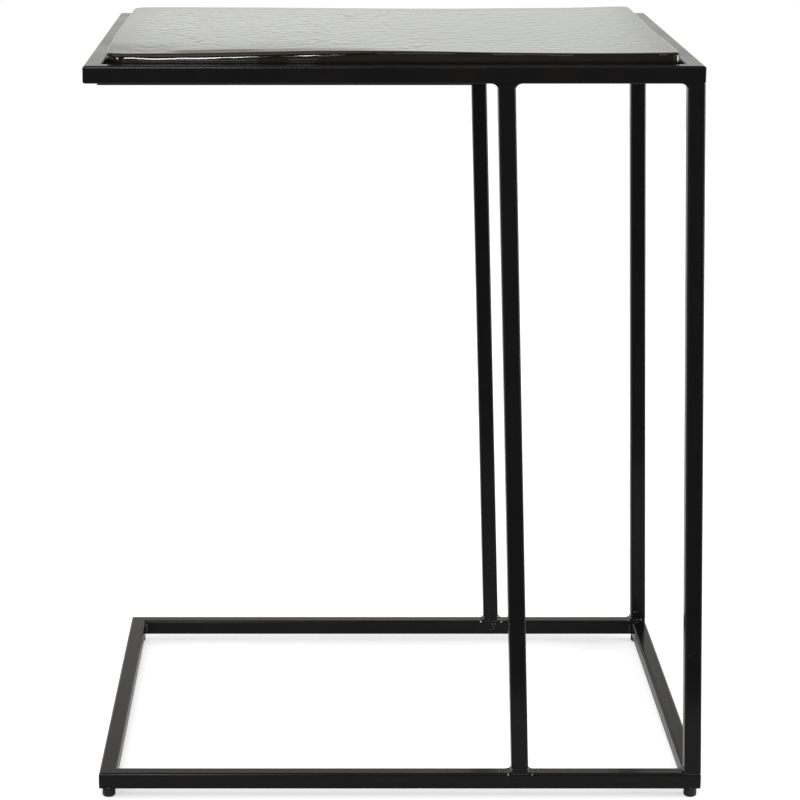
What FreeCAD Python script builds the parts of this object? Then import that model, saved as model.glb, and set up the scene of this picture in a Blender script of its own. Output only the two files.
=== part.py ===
import FreeCAD, Part
import math
import os

from FreeCAD import Vector

# C-shaped side table: a welded frame of square steel tube with a thick slab of cast glass in its top ring.
# Millimetres. +Z is up, +X runs from the open side of the C to the uprights, +Y from the front to the back.
# The origin lies on the floor under the middle of the base ring.

# Frame
TUBE = 13.5              # outer width of the square tube
WALL = 1.2               # thickness of the tube's wall
TUBE_RADIUS = 2.2        # outer corner of the tube's section
TOP_LENGTH = 470.0       # top ring along X
BASE_LENGTH = 487.0      # base ring along X; both rings end on one line at the open side
DEPTH = 383.0            # both rings along Y
FRAME_HEIGHT = 585.0     # from the underside of the base ring to the top of the top ring
UPRIGHT_SPACING = 139.6  # from the middle pair of uprights to the pair at the end, on the base ring
MIDDLE_LEAN = 3.7        # how much further the middle pair leans towards the open side
CORNER_RADIUS = 1.0      # ground weld on the outer corners of a ring

# Welds left as they were laid
TOP_WELD_LEG = 5.0       # concave fillets where the uprights meet the top ring
BASE_WELD_LEG = 4.0      # concave fillets where the uprights meet the base ring
CORNER_WELD_LEG = 2.6    # inside the corners of both rings
HOLLOW_SHARE = 0.31      # how far the middle of a bead's face stands out; half would be flat
TACK_LENGTH = 9.0        # short welds along the edges of the support panel
TACK_LEG = 1.0
TACK_INSET = 10.5        # from the ends of the panel's wide part to the first and the last tack
TACK_COUNT = 4           # on each long edge

# Support panel under the top ring
PANEL_THICKNESS = 1.2
PANEL_INSET = 3.0        # from the outer faces of the ring to the panel's edges
PANEL_END_INSET = 10.5   # the same at the open end
PANEL_RADIUS = 2.0       # corners of the wide part
PANEL_CLEARANCE = 3.5    # between the panel and the welds of the uprights that it passes

# Cast glass top
GLASS_THICKNESS = 20.0
GLASS_GAP = 3.5          # all round, between the glass and the ring
GLASS_CORNER_RADIUS = 8.0
GLASS_EDGE_RADIUS = 4.0  # fire-polished edges, above and below
SEAT_GAP = 0.3           # between a piece that comes off or turns and the seat it rests on

# Bumpers between the panel and the glass
BUMPER_DIAMETER = 10.0
BUMPER_HEIGHT = 1.5
BUMPER_TAPER = 0.8       # how far the rim draws in towards the glass
BUMPER_INSET = 30.0      # from the edges of the glass
BUMPER_COLUMNS = 3
BUMPER_ROWS = 2

# Screw-in feet under the corners of the base ring
FOOT_HEIGHT = 8.0        # floor to the underside of the base ring, with the feet screwed right in
FOOT_INSET = 7.5         # from the outer faces of the ring to a foot's axis
GLIDE_DIAMETER = 10.5
GLIDE_BEVEL = 1.2        # lower edge, which meets the floor
STUD_DIAMETER = 5.0
STUD_SOCKET = 4.5        # length moulded into the glide
STUD_REACH = 9.0         # length above the underside of the ring
STUD_CHAMFER = 0.6
THREAD_CLEARANCE = 0.3   # between the stud and the threaded insert, on the radius
INSERT_WALL = 1.0
INSERT_LENGTH = 8.0      # above the underside of the ring
INSERT_FLANGE = 0.7      # width and thickness of the flange that bears on the ring
INSERT_CLEARANCE = 0.1   # between the insert and its hole, on the radius

OVERRUN = 1.0            # how far every cutting shape passes the piece it cuts
FITTED = 1e-6            # two heights this close are one

# Places that follow from the sizes above
LEFT = -BASE_LENGTH / 2
FRONT = -DEPTH / 2
BASE_UNDERSIDE = FOOT_HEIGHT
BASE_TOP = BASE_UNDERSIDE + TUBE
FRAME_TOP = BASE_UNDERSIDE + FRAME_HEIGHT
TOP_UNDERSIDE = FRAME_TOP - TUBE
LEAN = BASE_LENGTH - TOP_LENGTH      # the uprights carry the shorter top ring towards the open side
FLAT = TUBE - 2 * TUBE_RADIUS        # flat part of a tube's face
GLASS_LENGTH = TOP_LENGTH - 2 * (TUBE + GLASS_GAP)
GLASS_DEPTH = DEPTH - 2 * (TUBE + GLASS_GAP)
INSERT_BORE_RADIUS = STUD_DIAMETER / 2 + THREAD_CLEARANCE
INSERT_RADIUS = INSERT_BORE_RADIUS + INSERT_WALL
GLIDE_TOP = FOOT_HEIGHT - INSERT_FLANGE - SEAT_GAP

X_AXIS = Vector(1, 0, 0)
Y_AXIS = Vector(0, 1, 0)
Z_AXIS = Vector(0, 0, 1)
QUARTER_TURN = 90
FULL_TURN = 360
SIDES = ("front", "right", "back", "left")


def rounded_rectangle(size_x, size_y, radius):
    """Wire in the XY plane from the origin to (size_x, size_y): four lines joined by quarter circles."""
    corners = (Vector(0, 0, 0), Vector(size_x, 0, 0), Vector(size_x, size_y, 0), Vector(0, size_y, 0))
    arc_share = 1 - math.sqrt(0.5)
    edges = []
    for index, corner in enumerate(corners):
        next_corner = corners[(index + 1) % len(corners)]
        back = (corners[index - 1] - corner).normalize() * radius
        ahead = (next_corner - corner).normalize() * radius
        middle = corner + (back + ahead) * arc_share
        edges.append(Part.Arc(corner + back, middle, corner + ahead).toShape())
        edges.append(Part.LineSegment(corner + ahead, next_corner - ahead).toShape())
    return Part.Wire(edges)


def slab(size_x, size_y, radius, thickness, corner):
    """Plate with rounded corners in plan, from its lowest corner upwards."""
    plate = Part.Face(rounded_rectangle(size_x, size_y, radius)).extrude(Z_AXIS * thickness)
    plate.translate(corner)
    return plate


def rim(shape, height):
    """Edges of a shape that lie level at the given height."""
    return [edge for edge in shape.Edges if all(abs(end.Z - height) < FITTED for end in edge.Vertexes)]


def turned(place, profile):
    """Solid of revolution about the upright axis through place, from (radius, height) points."""
    points = [place + Vector(radius, 0, height) for radius, height in profile]
    outline = Part.makePolygon(points + points[:1])
    return Part.Face(outline).revolve(place, Z_AXIS, FULL_TURN)


def tube_section():
    """Cut face of the square tube in the XY plane: a rounded square less its sharp-cornered bore."""
    outer = Part.Face(rounded_rectangle(TUBE, TUBE, TUBE_RADIUS))
    bore_size = TUBE - 2 * WALL
    return outer.cut(Part.makePlane(bore_size, bore_size, Vector(WALL, WALL, 0)))


def mitred_rail(length):
    """Tube along X with its outer face on Y = 0, cut at 45 degrees at both ends."""
    section = tube_section()
    turn_x_to_y_and_y_to_z = FreeCAD.Rotation(X_AXIS + Y_AXIS + Z_AXIS, 120)
    section.Placement = FreeCAD.Placement(Vector(0, 0, 0), turn_x_to_y_and_y_to_z)
    blank = section.extrude(X_AXIS * length)
    outside = -OVERRUN
    inside = TUBE + OVERRUN
    outline = Part.makePolygon([
        Vector(outside, outside, -OVERRUN),
        Vector(length - outside, outside, -OVERRUN),
        Vector(length - inside, inside, -OVERRUN),
        Vector(inside, inside, -OVERRUN),
        Vector(outside, outside, -OVERRUN),
    ])
    mitres = Part.Face(outline).extrude(Z_AXIS * (TUBE + 2 * OVERRUN))
    return blank.common(mitres)


def ring_rails(length, underside):
    """The four rails of a ring by side, with the ring's outer corners ground round."""
    outline = slab(length, DEPTH, CORNER_RADIUS, TUBE, Vector(LEFT, FRONT, underside))
    runs = (
        (length, Vector(0, 0, 0)),
        (DEPTH, Vector(length, 0, 0)),
        (length, Vector(length, DEPTH, 0)),
        (DEPTH, Vector(0, DEPTH, 0)),
    )
    rails = {}
    for index, (side, (run, start)) in enumerate(zip(SIDES, runs)):
        rail = mitred_rail(run)
        rail.rotate(Vector(0, 0, 0), Z_AXIS, index * QUARTER_TURN)
        rail.translate(Vector(LEFT, FRONT, underside) + start)
        rails[side] = rail.common(outline)
    return rails


def upright_corners():
    """Lowest front-left corner of each upright, where it stands on the base ring."""
    end_x = LEFT + BASE_LENGTH - TUBE
    middle_x = end_x - UPRIGHT_SPACING
    back_y = FRONT + DEPTH - TUBE
    return {
        "front_middle_upright": Vector(middle_x, FRONT, BASE_TOP),
        "back_middle_upright": Vector(middle_x, back_y, BASE_TOP),
        "front_end_upright": Vector(end_x, FRONT, BASE_TOP),
        "back_end_upright": Vector(end_x, back_y, BASE_TOP),
    }


def upright_rise(name):
    """Way from the lower to the upper end of an upright."""
    lean = LEAN + MIDDLE_LEAN if "middle" in name else LEAN
    return Vector(-lean, 0, TOP_UNDERSIDE - BASE_TOP)


def upright(name, corner):
    """Leaning tube whose level ends lie flat on both rings."""
    section = tube_section()
    section.translate(corner)
    return section.extrude(upright_rise(name))


def weld_fillet(corner, first, second, run):
    """Bead in a corner: legs along first and second, joined by a hollow arc and drawn along run."""
    start = corner + first
    end = corner + second
    middle = corner + (first + second) * HOLLOW_SHARE
    outline = Part.Wire([
        Part.LineSegment(corner, start).toShape(),
        Part.Arc(start, middle, end).toShape(),
        Part.LineSegment(end, corner).toShape(),
    ])
    return Part.Face(outline).extrude(run)


def upright_welds(leg, at_top):
    """Fillets at the upper or lower end of all uprights."""
    fillets = []
    for name, corner in upright_corners().items():
        rise = upright_rise(name)
        foot = corner + rise if at_top else corner
        along = rise.normalize() * (-leg if at_top else leg)
        across = Y_AXIS * FLAT
        near = foot + Y_AXIS * TUBE_RADIUS
        fillets.append(weld_fillet(near, X_AXIS * -leg, along, across))
        if "middle" in name:
            fillets.append(weld_fillet(near + X_AXIS * TUBE, X_AXIS * leg, along, across))
            continue
        inward = 1 if "front" in name else -1
        inner_face = foot + X_AXIS * TUBE_RADIUS + Y_AXIS * (TUBE if inward > 0 else 0)
        fillets.append(weld_fillet(inner_face, Y_AXIS * inward * leg, along, X_AXIS * FLAT))
    return fillets


def corner_welds(length, underside):
    """Upright beads in the four inner corners of a ring."""
    low = underside + TUBE_RADIUS
    near_x = LEFT + TUBE
    far_x = LEFT + length - TUBE
    near_y = FRONT + TUBE
    far_y = FRONT + DEPTH - TUBE
    beads = []
    for x, side_x in ((near_x, 1), (far_x, -1)):
        for y, side_y in ((near_y, 1), (far_y, -1)):
            legs = X_AXIS * side_x * CORNER_WELD_LEG, Y_AXIS * side_y * CORNER_WELD_LEG
            beads.append(weld_fillet(Vector(x, y, low), *legs, Z_AXIS * FLAT))
    return beads


def wide_panel_ends():
    """Where the panel's wide part starts at the open end and stops short of the middle uprights, along X."""
    name = "front_middle_upright"
    upright_top = upright_corners()[name] + upright_rise(name)
    return LEFT + PANEL_END_INSET, upright_top.x - TOP_WELD_LEG - PANEL_CLEARANCE


def support_panel():
    """Sheet under the top ring: wide over the open part, then narrow enough to pass between the uprights."""
    low = TOP_UNDERSIDE - PANEL_THICKNESS
    start_x, step_x = wide_panel_ends()
    wide_corner = Vector(start_x, FRONT + PANEL_INSET, low)
    wide_depth = DEPTH - 2 * PANEL_INSET
    wide = slab(step_x - start_x, wide_depth, PANEL_RADIUS, PANEL_THICKNESS, wide_corner)
    narrow_inset = TUBE + TOP_WELD_LEG + PANEL_CLEARANCE
    narrow_length = TOP_LENGTH - PANEL_END_INSET - PANEL_RADIUS - PANEL_INSET
    narrow = Part.makeBox(narrow_length, DEPTH - 2 * narrow_inset, PANEL_THICKNESS)
    narrow.translate(Vector(start_x + PANEL_RADIUS, FRONT + narrow_inset, low))
    return wide.fuse(narrow).removeSplitter()


def spread(first, last, count):
    """Evenly spaced places from first to last."""
    return [first + (last - first) * index / (count - 1) for index in range(count)]


def panel_tacks():
    """Short beads between the long edges of the panel's wide part and the underside of the rails."""
    start_x, step_x = wide_panel_ends()
    places = spread(start_x + TACK_INSET, step_x - TACK_INSET - TACK_LENGTH, TACK_COUNT)
    edges = ((FRONT + PANEL_INSET, -1), (FRONT + DEPTH - PANEL_INSET, 1))
    tacks = []
    for y, outward in edges:
        legs = Y_AXIS * outward * TACK_LEG, Z_AXIS * -TACK_LEG
        for x in places:
            tacks.append(weld_fillet(Vector(x, y, TOP_UNDERSIDE), *legs, X_AXIS * TACK_LENGTH))
    return tacks


def glass_corner():
    """Lowest front-left corner of the glass."""
    inset = TUBE + GLASS_GAP
    return Vector(LEFT + inset, FRONT + inset, TOP_UNDERSIDE + BUMPER_HEIGHT + SEAT_GAP)


def cast_glass():
    """Thick slab with rounded corners and fire-polished edges."""
    corner = glass_corner()
    plate = slab(GLASS_LENGTH, GLASS_DEPTH, GLASS_CORNER_RADIUS, GLASS_THICKNESS, corner)
    edges = rim(plate, corner.z) + rim(plate, corner.z + GLASS_THICKNESS)
    return plate.makeFillet(GLASS_EDGE_RADIUS, edges)


def bumpers():
    """Soft discs on the panel, drawn in towards the glass, in rows along it."""
    corner = glass_corner()
    columns = spread(corner.x + BUMPER_INSET, corner.x + GLASS_LENGTH - BUMPER_INSET, BUMPER_COLUMNS)
    rows = spread(corner.y + BUMPER_INSET, corner.y + GLASS_DEPTH - BUMPER_INSET, BUMPER_ROWS)
    radius = BUMPER_DIAMETER / 2
    profile = [(0, 0), (radius, 0), (radius - BUMPER_TAPER, BUMPER_HEIGHT), (0, BUMPER_HEIGHT)]
    return [turned(Vector(x, y, TOP_UNDERSIDE), profile) for x in columns for y in rows]


def foot_places():
    """Axis of each foot on the floor."""
    left_x = LEFT + FOOT_INSET
    right_x = LEFT + BASE_LENGTH - FOOT_INSET
    front_y = FRONT + FOOT_INSET
    back_y = FRONT + DEPTH - FOOT_INSET
    return {
        "front_left": Vector(left_x, front_y, 0),
        "front_right": Vector(right_x, front_y, 0),
        "back_right": Vector(right_x, back_y, 0),
        "back_left": Vector(left_x, back_y, 0),
    }


def foot_glide(place):
    """Round nylon foot, bevelled below, with a blind socket for its stud."""
    radius = GLIDE_DIAMETER / 2
    socket_radius = STUD_DIAMETER / 2
    socket_floor = GLIDE_TOP - STUD_SOCKET
    return turned(place, [
        (0, 0),
        (radius - GLIDE_BEVEL, 0),
        (radius, GLIDE_BEVEL),
        (radius, GLIDE_TOP),
        (socket_radius, GLIDE_TOP),
        (socket_radius, socket_floor),
        (0, socket_floor),
    ])


def foot_stud(place):
    """Threaded stud, from the floor of the glide's socket to its chamfered tip inside the tube."""
    low = GLIDE_TOP - STUD_SOCKET
    tip = BASE_UNDERSIDE + STUD_REACH
    radius = STUD_DIAMETER / 2
    return turned(place, [
        (0, low),
        (radius, low),
        (radius, tip - STUD_CHAMFER),
        (radius - STUD_CHAMFER, tip),
        (0, tip),
    ])


def foot_insert(place):
    """Flanged threaded insert in the corner of the base ring."""
    low = BASE_UNDERSIDE - INSERT_FLANGE
    tip = BASE_UNDERSIDE + INSERT_LENGTH
    flange_radius = INSERT_RADIUS + INSERT_FLANGE
    return turned(place, [
        (INSERT_BORE_RADIUS, low),
        (flange_radius, low),
        (flange_radius, BASE_UNDERSIDE),
        (INSERT_RADIUS, BASE_UNDERSIDE),
        (INSERT_RADIUS, tip),
        (INSERT_BORE_RADIUS, tip),
    ])


def with_foot_holes(rail):
    """Base rail with the holes of the inserts that its ends share with its neighbours."""
    radius = INSERT_RADIUS + INSERT_CLEARANCE
    for place in foot_places().values():
        start = place + Z_AXIS * (BASE_UNDERSIDE - OVERRUN)
        rail = rail.cut(Part.makeCylinder(radius, WALL + 2 * OVERRUN, start))
    return rail


def build():
    """All pieces by name; a group of like pieces is one compound of separate solids."""
    pieces = {}
    for side, rail in ring_rails(TOP_LENGTH, TOP_UNDERSIDE).items():
        pieces["top_" + side + "_rail"] = rail
    for side, rail in ring_rails(BASE_LENGTH, BASE_UNDERSIDE).items():
        pieces["base_" + side + "_rail"] = with_foot_holes(rail)
    for name, corner in upright_corners().items():
        pieces[name] = upright(name, corner)
    top_welds = upright_welds(TOP_WELD_LEG, True) + corner_welds(TOP_LENGTH, TOP_UNDERSIDE)
    base_welds = upright_welds(BASE_WELD_LEG, False) + corner_welds(BASE_LENGTH, BASE_UNDERSIDE)
    pieces["top_ring_welds"] = Part.makeCompound(top_welds)
    pieces["base_ring_welds"] = Part.makeCompound(base_welds)
    pieces["support_panel"] = support_panel()
    pieces["panel_tack_welds"] = Part.makeCompound(panel_tacks())
    pieces["glass_bumpers"] = Part.makeCompound(bumpers())
    pieces["cast_glass_top"] = cast_glass()
    pieces["foot_inserts"] = Part.makeCompound([foot_insert(place) for place in foot_places().values()])
    for corner, place in foot_places().items():
        pieces[corner + "_foot_glide"] = foot_glide(place)
        pieces[corner + "_foot_stud"] = foot_stud(place)
    return pieces


os.makedirs("parts", exist_ok=True)
for name, shape in build().items():
    shape.exportStep(os.path.join("parts", name + ".step"))
    size = shape.BoundBox
    print(name, len(shape.Solids), "solid(s)", round(shape.Volume), "mm3",
          round(size.XLength, 1), round(size.YLength, 1), round(size.ZLength, 1), shape.isValid())
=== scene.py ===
# %% [markdown]
# A C-shaped side table in square steel tube and cast glass
#
# The CAD model already holds the welded frame, the glass and the feet at their real sizes. This lesson
# gives them their looks. The straight tubes keep their CAD shape and only get a finish. What a hand or
# a furnace shaped, the cast slab and the weld beads, is worked out again as smooth surfaces with numpy,
# because a drawing only gives their nominal form. Everything is in metres, in the CAD model's own
# frame.

# %% Load the CAD frame
import math

import bpy
import numpy as np
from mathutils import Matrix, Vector


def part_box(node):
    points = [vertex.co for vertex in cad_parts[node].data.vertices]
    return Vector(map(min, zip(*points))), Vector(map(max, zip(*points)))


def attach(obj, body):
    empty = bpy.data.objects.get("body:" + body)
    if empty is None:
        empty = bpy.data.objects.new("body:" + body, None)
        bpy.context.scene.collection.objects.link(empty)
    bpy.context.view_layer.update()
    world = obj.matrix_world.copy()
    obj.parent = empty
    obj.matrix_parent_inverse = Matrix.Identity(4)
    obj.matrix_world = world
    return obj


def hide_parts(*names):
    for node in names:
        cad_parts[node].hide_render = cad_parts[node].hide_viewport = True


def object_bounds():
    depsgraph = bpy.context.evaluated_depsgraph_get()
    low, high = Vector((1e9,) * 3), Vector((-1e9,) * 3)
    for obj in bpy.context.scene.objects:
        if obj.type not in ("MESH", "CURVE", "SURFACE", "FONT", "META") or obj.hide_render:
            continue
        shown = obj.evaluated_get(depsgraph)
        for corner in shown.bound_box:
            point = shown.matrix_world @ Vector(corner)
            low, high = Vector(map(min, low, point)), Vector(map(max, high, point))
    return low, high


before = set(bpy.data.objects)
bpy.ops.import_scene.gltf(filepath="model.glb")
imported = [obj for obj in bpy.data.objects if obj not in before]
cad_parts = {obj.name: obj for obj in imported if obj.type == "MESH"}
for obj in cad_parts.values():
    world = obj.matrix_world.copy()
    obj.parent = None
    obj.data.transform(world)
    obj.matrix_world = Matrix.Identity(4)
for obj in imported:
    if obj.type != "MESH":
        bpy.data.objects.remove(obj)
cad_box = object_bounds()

MM = 0.001
print("CAD box:", [round(side, 4) for side in cad_box[1] - cad_box[0]])

# %% [markdown]
# The camera
#
# A camera is matched to a photograph by finding where the real edges land in it. Here the front edges
# of both rings are level, so the camera looks straight along +Y and only tips down. The lines that run
# to the back meet left of the picture's middle, so the picture was cropped, and a lens shift does the
# same without turning the camera. The long lens follows from how little the back of the frame shrinks.

# %% Camera
def new_object(name, content):
    """Object with the given camera, lamp or mesh, in the scene."""
    made = bpy.data.objects.new(name, content)
    bpy.context.scene.collection.objects.link(made)
    return made


PHOTO_PIXELS = 800
FOCAL_PIXELS = 2567.0
VANISHING_COLUMN = 321.3
CAMERA_PITCH = math.radians(14.533)
CAMERA_PLACE = Vector((-0.0635, -2.1233, 0.8344))
SENSOR_WIDTH = 36.0


def photo_camera():
    """Camera whose focal length in pixels, tilt and vanishing column are those of the photograph."""
    lens = bpy.data.cameras.new("photo_camera")
    lens.sensor_width = SENSOR_WIDTH
    lens.lens = SENSOR_WIDTH * FOCAL_PIXELS / PHOTO_PIXELS
    lens.shift_x = 0.5 - VANISHING_COLUMN / PHOTO_PIXELS
    camera = new_object("photo_camera", lens)
    camera.location = CAMERA_PLACE
    camera.rotation_euler = (math.pi / 2 - CAMERA_PITCH, 0, 0)
    bpy.context.scene.camera = camera
    return camera


camera = photo_camera()
print("lens", round(camera.data.lens, 1), "mm, shift", round(camera.data.shift_x, 4))

# %% [markdown]
# Building shader trees
#
# Every finish below is a tree of nodes. One helper makes a node, sets its options and fills its inputs:
# a number is typed into the socket, and another node's output is linked to it. That keeps each finish
# down to the lines that say what it looks like.


# %% Node helpers
def add_node(tree, kind, options=None, **inputs):
    """New node of a tree; an underscore in an input's name stands for a space."""
    made = tree.nodes.new(kind)
    for option, value in (options or {}).items():
        setattr(made, option, value)
    for name, value in inputs.items():
        socket = made.inputs[int(name[1:]) if name[1:].isdigit() else name.replace("_", " ")]
        if isinstance(value, bpy.types.NodeSocket):
            tree.links.new(value, socket)
        else:
            socket.default_value = value
    return made


def add_math(tree, operation, first, second=0.0):
    """Output of a Math node that combines two values."""
    return add_node(tree, "ShaderNodeMath", {"operation": operation}, _0=first, _1=second).outputs[0]


def add_range(tree, value, low, high, new_low, new_high):
    """Value that eases from new_low to new_high while the input goes from low to high."""
    eased = add_node(tree, "ShaderNodeMapRange", {"interpolation_type": "SMOOTHSTEP"}, Value=value,
                     _1=low, _2=high, _3=new_low, _4=new_high)
    return eased.outputs[0]


def add_mix(tree, share, first, second, kind="RGBA"):
    """Output of a Mix node: the first value at share 0, the second at share 1."""
    start = 6 if kind == "RGBA" else 2
    ends = {"_%d" % start: first, "_%d" % (start + 1): second}
    mix = add_node(tree, "ShaderNodeMix", {"data_type": kind}, _0=share, **ends)
    return mix.outputs[2 if kind == "RGBA" else 0]


def empty_material(name):
    """Material with nothing but its output node, and that output."""
    material = bpy.data.materials.new(name)
    material.use_nodes = True
    material.node_tree.nodes.clear()
    return material, material.node_tree, material.node_tree.nodes.new("ShaderNodeOutputMaterial")


# %% [markdown]
# The studio
#
# The table stands on a white sweep, and its black paint and its glass are seen almost only by what they
# mirror. So the surroundings matter more than the lamps: a pale backdrop low behind the table, a little
# dimmer to both sides, a warmer and dimmer wall above it, a lit ceiling above and behind, and a dim
# room behind the camera, which is what keeps the front of the frame black. The world gives that to
# mirrored rays alone. Diffuse light comes from an even grey sky and soft lamps, at a level where a
# colour shows as written.

# %% World
WHITE = (1.0, 1.0, 1.0, 1.0)
BACKDROP = (0.95, 0.965, 0.92, 1.0)
WARM_WALL = (1.0, 0.88, 0.79, 1.0)
SKY_LIGHT = 0.65
# Levels, and the parts of a unit direction or the headings between which they fade in.
DIM_ROOM = 0.22
ROOM_HEADINGS = (math.radians(125), math.radians(160))
DIM_HEIGHT = 0.15
DIM_HEIGHTS = (0.15, 0.8)
CEILING = 0.85
CEILING_HEIGHTS = (0.84, 0.96)
CEILING_DEPTHS = (-0.3, -0.1)
SIDES_MIDDLE = 0.02
DIM_SIDES = 0.8
DIM_SIDE_REACH = (0.075, 0.125)
WARM_HEIGHTS = (0.24, 0.38)
WARM_SIDES = 0.2
WARM_SIDE_REACH = (0.06, 0.1)


def studio_world():
    """World that is white to the camera and an even grey to diffuse rays. To mirrored rays it is wall or
    ceiling, whichever is brighter. The wall's level is the product of three eased steps, over the
    heading, the height and the way to the sides, and its colour turns warm with height. The ceiling is
    an eased step in height, above and behind the table alone."""
    world = bpy.data.worlds.new("studio_world")
    bpy.context.scene.world = world
    world.use_nodes = True
    tree = world.node_tree
    tree.nodes.clear()
    direction = add_node(tree, "ShaderNodeTexCoord").outputs["Generated"]
    along = add_node(tree, "ShaderNodeSeparateXYZ", Vector=direction).outputs
    heading = add_math(tree, "ABSOLUTE", add_math(tree, "ARCTAN2", along["X"], along["Y"]))
    sideways = add_math(tree, "ABSOLUTE", add_math(tree, "SUBTRACT", along["X"], SIDES_MIDDLE))
    around = add_range(tree, heading, *ROOM_HEADINGS, 1.0, DIM_ROOM)
    overhead = add_range(tree, along["Z"], *DIM_HEIGHTS, 1.0, DIM_HEIGHT)
    sides = add_range(tree, sideways, *DIM_SIDE_REACH, 1.0, DIM_SIDES)
    warm_height = add_range(tree, along["Z"], *WARM_HEIGHTS, 0.0, 1.0)
    warm_side = add_range(tree, sideways, *WARM_SIDE_REACH, 1.0, WARM_SIDES)
    tint = add_mix(tree, add_math(tree, "MULTIPLY", warm_height, warm_side), BACKDROP, WARM_WALL)
    ceiling = add_math(tree, "MULTIPLY", add_range(tree, along["Z"], *CEILING_HEIGHTS, 0.0, CEILING),
                       add_range(tree, along["Y"], *CEILING_DEPTHS, 0.0, 1.0))
    wall = add_math(tree, "MULTIPLY", add_math(tree, "MULTIPLY", around, overhead), sides)
    mirrored_level = add_math(tree, "MAXIMUM", wall, ceiling)
    rays = add_node(tree, "ShaderNodeLightPath").outputs
    mirrored_ray = add_math(tree, "MAXIMUM", rays["Is Glossy Ray"], rays["Is Transmission Ray"])
    lit = add_mix(tree, mirrored_ray, SKY_LIGHT, mirrored_level, "FLOAT")
    seen = add_mix(tree, rays["Is Camera Ray"], lit, 1.0, "FLOAT")
    colour = add_mix(tree, mirrored_ray, WHITE, tint)
    light = add_node(tree, "ShaderNodeBackground", Color=colour, Strength=seen)
    output = tree.nodes.new("ShaderNodeOutputWorld")
    tree.links.new(light.outputs[0], output.inputs["Surface"])


studio_world()
print("levels of wall, ceiling and room:", 1.0, CEILING, DIM_ROOM)

# %% [markdown]
# Floor
#
# The floor is a disc of white paper. More lamps could make it white, but they would also wash out the
# paint. So it gives a little light of its own to the camera, and the shadow stays. What the paint
# mirrors is the paper as the lamps light it.

# %% Floor
FLOOR_RADIUS = 2.0
FLOOR_SETBACK = 1.58
FLOOR_COLOUR = (0.75, 0.75, 0.75, 1.0)
FLOOR_TOP_UPS = (0.5, 0.62)
FLOOR_FADE = (0.4, 1.2)
FLOOR_POINTS = 96


def floor_paper():
    """White paper: it keeps the shadow, and a little light of its own, eased up with the distance from
    the table, brings it up to white for the camera and through glass. From below it isn't there, so that
    the underside of the table can be looked at."""
    material, tree, output = empty_material("floor_paper")
    place = add_node(tree, "ShaderNodeTexCoord").outputs["Object"]
    away = add_node(tree, "ShaderNodeVectorMath", {"operation": "LENGTH"}, _0=place).outputs["Value"]
    top_up = add_range(tree, away, *FLOOR_FADE, *FLOOR_TOP_UPS)
    paper = add_node(tree, "ShaderNodeBsdfDiffuse", Color=FLOOR_COLOUR)
    rays = add_node(tree, "ShaderNodeLightPath").outputs
    looking = add_math(tree, "MAXIMUM", rays["Is Camera Ray"], rays["Is Transmission Ray"])
    glow = add_node(tree, "ShaderNodeEmission", Color=WHITE,
                    Strength=add_math(tree, "MULTIPLY", looking, top_up))
    lit = add_node(tree, "ShaderNodeAddShader", _0=paper.outputs[0], _1=glow.outputs[0])
    below = add_node(tree, "ShaderNodeNewGeometry").outputs["Backfacing"]
    hidden = add_node(tree, "ShaderNodeBsdfTransparent")
    seen = add_node(tree, "ShaderNodeMixShader", _0=below, _1=lit.outputs[0], _2=hidden.outputs[0])
    tree.links.new(seen.outputs[0], output.inputs["Surface"])
    return material


def floor_disc():
    """Round floor: one ring of points on a circle, set back so that the front of the frame mirrors
    little of it."""
    turn = np.linspace(0, 2 * math.pi, FLOOR_POINTS, endpoint=False)
    rim = FLOOR_RADIUS * np.stack([np.cos(turn), np.sin(turn), np.zeros_like(turn)], axis=-1)
    rim[:, 1] += FLOOR_SETBACK
    mesh = bpy.data.meshes.new("floor")
    mesh.from_pydata(rim.tolist(), [], [list(range(len(rim)))])
    mesh.materials.append(floor_paper())
    disc = new_object("floor", mesh)


floor_disc()
print("floor:", 2 * FLOOR_RADIUS, "m across")

# %% [markdown]
# Lamps
#
# One large lamp overhead lights everything and is mirrored by nothing. The others are there to be
# mirrored: panes of a window high in front, which draw the broken line along the front edge of the
# glass, and a card low in front and one on each side, which draw the edges of the tubes and the corners
# of the glass. A picture of a real room could be mirrored instead, but plain panes can be moved one by
# one until each edge lights up where it should.

# %% Lamps
TABLE_MIDDLE = (cad_box[0] + cad_box[1]) / 2


def softbox(name, place, size, power, mirrored=True):
    """Rectangular lamp that faces the middle of the table; place and size are in metres, power in watts."""
    lamp = bpy.data.lights.new(name, "AREA")
    lamp.shape = "RECTANGLE"
    lamp.size, lamp.size_y = size
    lamp.energy = power
    box = new_object(name, lamp)
    box.location = place
    box.rotation_euler = (TABLE_MIDDLE - Vector(place)).to_track_quat("-Z", "Y").to_euler()
    box.visible_glossy = mirrored


softbox("overhead_softbox", (0.0, -0.2, 2.7), (2.2, 1.8), 12.0, mirrored=False)
softbox("wide_window", (-0.3625, -2.0, 2.3), (0.275, 0.9), 17.2)
softbox("narrow_window", (-0.155, -2.0, 2.3), (0.028, 0.9), 0.15)
softbox("dim_window", (0.14, -2.0, 2.3), (0.2, 0.9), 0.8)
softbox("far_window", (0.43, -2.0, 2.3), (0.36, 0.9), 1.8)
softbox("front_card", (-0.3, -2.4, 0.8), (0.34, 0.1), 0.35)
softbox("left_softbox", (-1.63, 0.59, 0.4), (0.3, 0.5), 2.5)
softbox("right_softbox", (1.8, -0.19, 0.4), (0.5, 0.9), 20.0)

bpy.context.scene.view_settings.view_transform = "Standard"

# %% [markdown]
# A grain that several finishes share
#
# Powder coat, moulded nylon and zinc plating all have a fine grain, with slow clouds in it where the
# finish is a little duller. It is made once as a node group: a fine noise for the height, and a coarse
# one that moves the roughness between two values. Each material then sets its own scales. The plain
# finishes among them differ in nothing else but their colours and a few constants, so one function
# makes them all.

# %% Grain group
CLOUD_LEVELS = (0.3, 0.7)


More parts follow.
